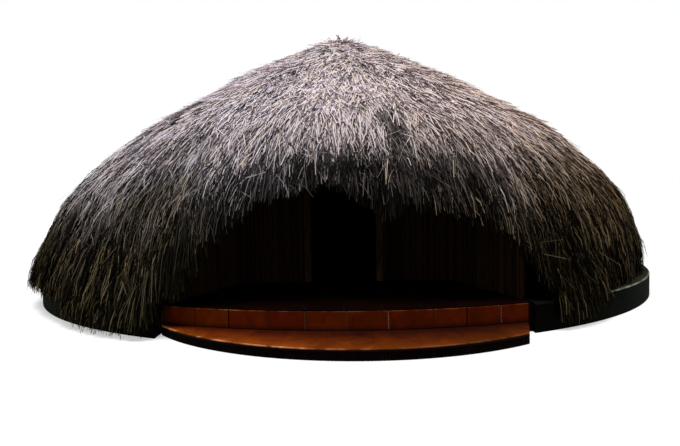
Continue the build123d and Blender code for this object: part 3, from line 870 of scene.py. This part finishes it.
# Name, azimuths, heights, tufts, and the points along a straw
for patch in (
    ("straw_front_left", 315, 360, 0, TOP_FROM, 1850, 3),
    ("straw_front_right", 0, 45, 0, TOP_FROM, 1850, 3),
    ("straw_right", 45, 120, 0, TOP_FROM, 2450, 3),
    ("straw_back", 120, 240, 0, TOP_FROM, 3250, 3),
    ("straw_left", 240, 315, 0, TOP_FROM, 2450, 3),
    ("stubble_front", 270, 450, TOP_FROM, DOME_TOP, 5000, 2),
    ("stubble_back", 90, 270, TOP_FROM, DOME_TOP, 3400, 2),
):
    grow(*patch)


def make_stalks(count=900):
    """Single pale stalks that lie loose across the thatch."""
    place, normal, down = scatter(count, 0, 360, 0.3, DOME_TOP)
    turn = rng.normal(0, 0.75, (count, 1))
    across = np.cross(down, normal)
    way = unit(down * np.cos(turn) + across * np.sin(turn) + normal * rng.uniform(0.02, 0.2, (count, 1)))
    lengths = np.minimum(rng.uniform(0.18, 0.5, count), np.maximum(place[:, 2] - foot_under(place), 0.1))
    make_straw(
        "stalks",
        place + normal * 0.06,
        way,
        normal,
        lengths,
        rng.uniform(0.005, 0.008, count),
        np.zeros(count),
        rng.uniform(0.45, 0.95, count),
        rng.uniform(0.2, 0.9, count),
        2,
        twist=0.3,
    )


make_stalks()


# Fringe that hangs in the mouth

WIDEST_PLACE = 34  # azimuth that the fringe stays within
HIGHEST_LEVEL = 2.6
LEVEL_COUNT = 53


def thatch_radius(azimuths, heights):
    """Radius of the solids' outer face at each azimuth, in degrees, and height, from a table of it."""
    places = np.arange(-WIDEST_PLACE, WIDEST_PLACE + 1, 1.0)
    levels = np.linspace(0, HIGHEST_LEVEL, LEVEL_COUNT)
    table = np.zeros((len(places), len(levels)))
    for k, azimuth in enumerate(places):
        flare = float(around(FLARES, np.array([azimuth]))[0])
        line = dome_line(flare, 20)
        table[k] = np.interp(levels, line[::-1, 1], line[::-1, 0])
    i = np.clip((azimuths - places[0]).round().astype(int), 0, len(places) - 1)
    j = np.clip(heights / levels[-1] * (len(levels) - 1), 0, len(levels) - 1.01)
    lower = j.astype(int)
    return table[i, lower] * (1 - (j - lower)) + table[i, lower + 1] * (j - lower)


def make_fringe(count=30000):
    """Dark straw from the arch's cut, and from the thatch above it, down to the mouth's edge."""
    angle = np.pi * rng.random(count)
    back = rng.random(count) < 0.4  # hangs from the face of the cut
    rise = np.where(back, 0.0, np.abs(rng.normal(0, 0.16, count)))
    x = CUT_HALF_WIDTH * np.cos(angle)
    z = CUT_HEIGHT * np.sin(angle) + rise
    radius = np.full(count, 4.6)  # a first guess, since the radius depends on the azimuth that it gives
    for _ in range(4):
        radius = thatch_radius(np.degrees(np.arcsin(np.clip(x / radius, -0.9, 0.9))), z)
    front = -np.sqrt(np.maximum(radius**2 - x**2, 0.1))
    y = front + np.where(back, rng.uniform(0.05, 0.42, count), rng.uniform(-0.02, 0.06, count))
    clump = waves(16, 0.13, 9)(np.stack((x, y * 0.3, z * 0.1), 1))
    edge = np.interp(x, *zip(*MOUTH_EDGE)) + 0.05 * clump
    ragged = np.where(
        rng.random(count) < 0.5, rng.uniform(-0.05, 0.12, count), rng.exponential(0.22, count)
    )
    lengths = np.clip(z - edge - ragged, 0.06, 1.2)
    way = np.stack((rng.normal(0, 0.12, count), rng.normal(-0.25, 0.15, count), -np.ones(count)), 1)
    way[back, 1] = rng.normal(-0.03, 0.08, back.sum())
    # Dark, as damp straw and as painted shade; painted darker still on the straw from the cut's face, as
    # shade inside the arch
    tone = rng.normal(0.16, 0.15, count) + 0.06 * clump + (rng.random(count) < 0.10) * 0.45 - back * 0.1
    tone *= painted_shade_share(np.stack((x, y, z - lengths / 2), 1))
    keep = (z - edge > 0.1) & (rng.random(count) < 0.35 + z / 0.8)
    make_straw(
        "fringe",
        np.stack((x, y, z), 1)[keep],
        unit(way)[keep],
        unit(np.stack((x, y, np.full(count, 2.0)), 1))[keep],
        lengths[keep],
        rng.uniform(0.006, 0.012, count)[keep],
        np.full(count, 0.5)[keep],
        tone[keep],
        rng.random(count)[keep],
        3,
    )


make_fringe()


# Tiles


EDGE_SUNK = -0.002  # height of a tile's rim over the face that it lies on
ROUND_OFF = 0.002
TILE_POINTS = (8, 4)  # along a tile and up it


def tile_shares(length, count, gap):
    """Shares of a tile's length where its points are: two close together at each rounded edge."""
    inside = np.linspace(gap + ROUND_OFF, length - gap - ROUND_OFF, count - 2)
    return np.concatenate(([gap], inside, [length - gap])) / length


def tile_field(name, tiles, material, lift=0.006, gap=0.006, shades=None):
    """Tiles with rounded edges, each a function from shares of its sides to points and normals."""
    points, quads, tones = [], [], []
    n, m = TILE_POINTS
    for k, (surface, length, height) in enumerate(tiles):
        uu, vv = np.meshgrid(tile_shares(length, n, gap), tile_shares(height, m, gap), indexing="ij")
        edge = np.ones((n, m), bool)
        edge[1:-1, 1:-1] = False
        place, normal = surface(uu, vv)
        first = sum(len(p) for p in points)
        points.append((place + normal * np.where(edge, EDGE_SUNK, lift)[..., None]).reshape(-1, 3))
        i, j = np.meshgrid(np.arange(n - 1), np.arange(m - 1), indexing="ij")
        a = first + i * m + j
        quads.append(np.stack((a, a + m, a + m + 1, a + 1), -1).reshape(-1, 4))
        tones.append(np.full(n * m, shades[k] if shades else rng.random()))
    faces = [np.concatenate(quads)]
    make_piece(name, np.concatenate(points), faces, material, "floor_tile", tone=np.concatenate(tones))


RISER_JOINTS = (-2.045, -1.62, -1.23, -0.81, -0.41, 0.03, 0.46, 0.93, 1.29, 1.675, 2.0)
RISER_SHADES = (1.0, 0.95, 0.5, 0.3, 0.7, 0.6, 0.4, 0.45, 0.45, 0.35)


def riser_surface(x0, x1):
    def surface(u, v):
        x = x0 + (x1 - x0) * u
        across = (x - LANDING_SHIFT) / LANDING_ARC
        z = STEP_HEIGHT + (FLOOR - STEP_HEIGHT) * v
        normal = np.stack((across, -np.sqrt(1 - across**2), np.zeros_like(x)), -1)
        return np.stack((x, landing_front(x), z), -1), normal

    return surface


tile_field(
    "riser_tiles",
    [(riser_surface(a, b), b - a, FLOOR - STEP_HEIGHT) for a, b in zip(RISER_JOINTS, RISER_JOINTS[1:])],
    riser_red,
    shades=RISER_SHADES,
)


def upright(x):
    """Normals that point straight up, one for each number."""
    up = np.zeros(x.shape + (3,))
    up[..., 2] = 1
    return up


def tread_surface(x0, x1):
    def surface(u, v):
        x = x0 + (x1 - x0) * u
        # The tile's depth and the step's width there depend on each other
        for _ in range(8):
            y = step_front(x) * (1 - v) + (landing_front(x) - 0.008) * v
            half = MOUTH_HALF - (landing_front(-MOUTH_HALF) - y) * STEP_END_SLANT
            x = np.clip(x, -half, half)
        return np.stack((x, y, np.full_like(x, STEP_HEIGHT)), -1), upright(x)

    return surface


TREAD_JOINTS = (-2.045, -1.56, -1.08, -0.6, -0.17, 0.28, 0.72, 1.15, 1.58, 2.045)
TREAD_DEPTH = 0.6  # about, for the gaps at its ends
tile_field(
    "tread_tiles",
    [(tread_surface(a, b), b - a, TREAD_DEPTH) for a, b in zip(TREAD_JOINTS, TREAD_JOINTS[1:])],
    terracotta,
    lift=0.002,
    gap=0.001,
)


def flat_surface(x0, x1, y0, y1):
    def surface(u, v):
        y = y0 + (y1 - y0) * v
        x = x0 + (x1 - x0) * u
        return np.stack((x, np.maximum(y, landing_front(x)), np.full_like(u, FLOOR)), -1), upright(x)

    return surface


def floor_tiles(size=0.41):
    """Ten rows of fourteen square tiles, from the landing's edge inwards."""
    tiles = []
    for i in range(-5, 5):
        for j in range(14):
            y0 = -LANDING_FRONT + size * j
            x0 = i * size
            tiles.append((flat_surface(x0, x0 + size, y0, y0 + size), size, size))
    tile_field("floor_tiles", tiles, red_floor_in_shade, lift=0.004)


floor_tiles()


# Reeds

# Ends of the right side wall on the ground, half of the doorway, and Y of the back wall
OUTER_END, INNER_END = (2.0, -4.41), (1.47, -2.92)
DOORWAY_HALF = 0.54
BACK = -2.895
PORCH_WALLS = {
    "porch_wall_right": (INNER_END, OUTER_END),
    "porch_wall_left": ((-INNER_END[0], INNER_END[1]), (-OUTER_END[0], OUTER_END[1])),
    "back_wall_right": ((DOORWAY_HALF, BACK), (INNER_END[0], BACK)),
    "back_wall_left": ((-INNER_END[0], BACK), (-DOORWAY_HALF, BACK)),
    "back_wall_head": ((-DOORWAY_HALF, BACK), (DOORWAY_HALF, BACK)),
}
REED_SIDES = 6
REED_SPACING = 0.021
REED_LAYER = 0.012  # from the middle of the wall to each of its two layers
REED_POINTS = 3  # points along a reed
BESIDE = 0.12  # how near a corner of the wall is to a reed whose height it gives


def reed_wall(node, start, end):
    """Two layers of reeds in place of a porch wall, each as high as the wall is beside it."""
    low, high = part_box(node)
    start, end = np.array(start), np.array(end)
    length = np.linalg.norm(end - start)
    along = (end - start) / length
    inward = np.array((-along[1], along[0])) * (-1 if node == "porch_wall_right" else 1)
    wall = np.array([v.co for v in solids[node].data.vertices])
    count = int(length / REED_SPACING)
    points, quads, tones = [], [], []
    angles = np.arange(REED_SIDES) * 2 * np.pi / REED_SIDES
    i, j = np.meshgrid(np.arange(REED_POINTS - 1), np.arange(REED_SIDES), indexing="ij")
    for layer in (-REED_LAYER, REED_LAYER):
        for k in range(count):
            at = start + along * (k + 0.5 + rng.uniform(-0.12, 0.12)) * length / count
            at = at + inward * layer
            close = np.abs((wall[:, :2] - at) @ along) < BESIDE
            top = wall[close, 2].max() if close.any() else high.z
            radius = rng.uniform(0.0085, 0.0115)
            lean = rng.normal(0, 0.004, 2)
            rows = np.array((low.z, (low.z + top) / 2, top - 0.01))
            first = sum(len(p) for p in points)
            ring = np.stack((np.cos(angles), np.sin(angles)), 1) * radius
            shift = lean * np.sin(np.linspace(0, np.pi, REED_POINTS))[:, None]
            across = at + ring[None] + shift[:, None]
            heights = np.broadcast_to(rows[:, None, None], (REED_POINTS, REED_SIDES, 1))
            points.append(np.concatenate((across, heights), 2).reshape(-1, 3))
            a = first + i * REED_SIDES + j
            b = first + i * REED_SIDES + (j + 1) % REED_SIDES
            quads.append(np.stack((a, b, b + REED_SIDES, a + REED_SIDES), -1).reshape(-1, 4))
            tones.append(np.full(REED_POINTS * REED_SIDES, rng.random()))
    piece = make_piece(
        node + "_reeds",
        np.concatenate(points),
        [np.concatenate(quads)],
        reed,
        "reed",
        smooth=True,
        tone=np.concatenate(tones),
    )
    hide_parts(node)


for node, (start, end) in PORCH_WALLS.items():
    reed_wall(node, start, end)


# Finish of the solids that stay

FINISHES = {"floor_slab": grout, "entrance_landing": grout, "step_tread": terracotta, "lower_step": stained_and_shaded}
for name, solid in solids.items():
    solid.data.materials.clear()
    solid.data.materials.append(plinth_paint if name.startswith("plinth") else FINISHES.get(name, wood))


# Stage and light

KEY_STRENGTH = 3.1
KEY_SOFTNESS = 25  # degrees across
KEY_FROM = (-0.5, -1.2, 10.0)
WORLD_STRENGTH = 0.36
STAGE_REACH = 150.0
STAGE_SEEN = (0.5, 0.5, 0.5, 1)
STAGE_GLOW = 0.5
STAGE_BOUNCE = (0.22, 0.22, 0.2, 1)  # colour in which the floor lights the object


def empty_tree(owner):
    """The node tree of a material or world, with nothing in it."""
    owner.use_nodes = True
    owner.node_tree.nodes.clear()
    return owner.node_tree


def wire(tree, *pairs):
    for source, sink in pairs:
        tree.links.new(source, sink)


def make_stage():
    """White floor that shows the object's shadow, and sends less light up than it seems to."""
    mesh = bpy.data.meshes.new("floor")
    corners = [(x * STAGE_REACH, y * STAGE_REACH, 0) for x, y in ((-1, -1), (1, -1), (1, 1), (-1, 1))]
    mesh.from_pydata(corners, [], [(0, 1, 2, 3)])
    floor = bpy.data.objects.new("floor", mesh)
    bpy.context.scene.collection.objects.link(floor)
    material = bpy.data.materials.new("floor")
    tree = empty_tree(material)
    out = tree.nodes.new("ShaderNodeOutputMaterial")
    mix = tree.nodes.new("ShaderNodeMixShader")
    caught = tree.nodes.new("ShaderNodeBsdfDiffuse")
    caught.inputs["Color"].default_value = STAGE_SEEN
    glow = tree.nodes.new("ShaderNodeEmission")
    glow.inputs["Strength"].default_value = STAGE_GLOW
    seen = tree.nodes.new("ShaderNodeAddShader")
    dim = tree.nodes.new("ShaderNodeBsdfDiffuse")
    dim.inputs["Color"].default_value = STAGE_BOUNCE
    path = tree.nodes.new("ShaderNodeLightPath")
    first = tree.nodes.new("ShaderNodeMath")
    second = tree.nodes.new("ShaderNodeMath")
    first.operation = second.operation = "MAXIMUM"
    wire(
        tree,
        (caught.outputs[0], seen.inputs[0]),
        (glow.outputs[0], seen.inputs[1]),
        (path.outputs["Is Camera Ray"], first.inputs[0]),
        (path.outputs["Is Glossy Ray"], first.inputs[1]),
        (first.outputs[0], second.inputs[0]),
        (path.outputs["Is Transmission Ray"], second.inputs[1]),
        (second.outputs[0], mix.inputs[0]),
        (dim.outputs[0], mix.inputs[1]),
        (seen.outputs[0], mix.inputs[2]),
        (mix.outputs[0], out.inputs["Surface"]),
    )
    mesh.materials.append(material)


def make_light():
    """White behind the object, soft light from all round, and one wide lamp from above."""
    world = bpy.data.worlds.new("world")
    bpy.context.scene.world = world
    tree = empty_tree(world)
    out = tree.nodes.new("ShaderNodeOutputWorld")
    mix = tree.nodes.new("ShaderNodeMixShader")
    soft = tree.nodes.new("ShaderNodeBackground")
    plain = tree.nodes.new("ShaderNodeBackground")
    for node, strength in ((soft, WORLD_STRENGTH), (plain, 1.0)):
        node.inputs["Color"].default_value = (1, 1, 1, 1)
        node.inputs["Strength"].default_value = strength
    path = tree.nodes.new("ShaderNodeLightPath")
    wire(
        tree,
        (path.outputs["Is Camera Ray"], mix.inputs[0]),
        (soft.outputs[0], mix.inputs[1]),
        (plain.outputs[0], mix.inputs[2]),
        (mix.outputs[0], out.inputs["Surface"]),
    )
    light = bpy.data.lights.new("key", "SUN")
    light.energy = KEY_STRENGTH
    light.angle = np.radians(KEY_SOFTNESS)
    lamp = bpy.data.objects.new("key", light)
    bpy.context.scene.collection.objects.link(lamp)
    lamp.location = KEY_FROM
    lamp.rotation_euler = Vector(KEY_FROM).to_track_quat("Z", "Y").to_euler()


make_stage()
make_light()
bpy.context.scene.view_settings.view_transform = "Standard"
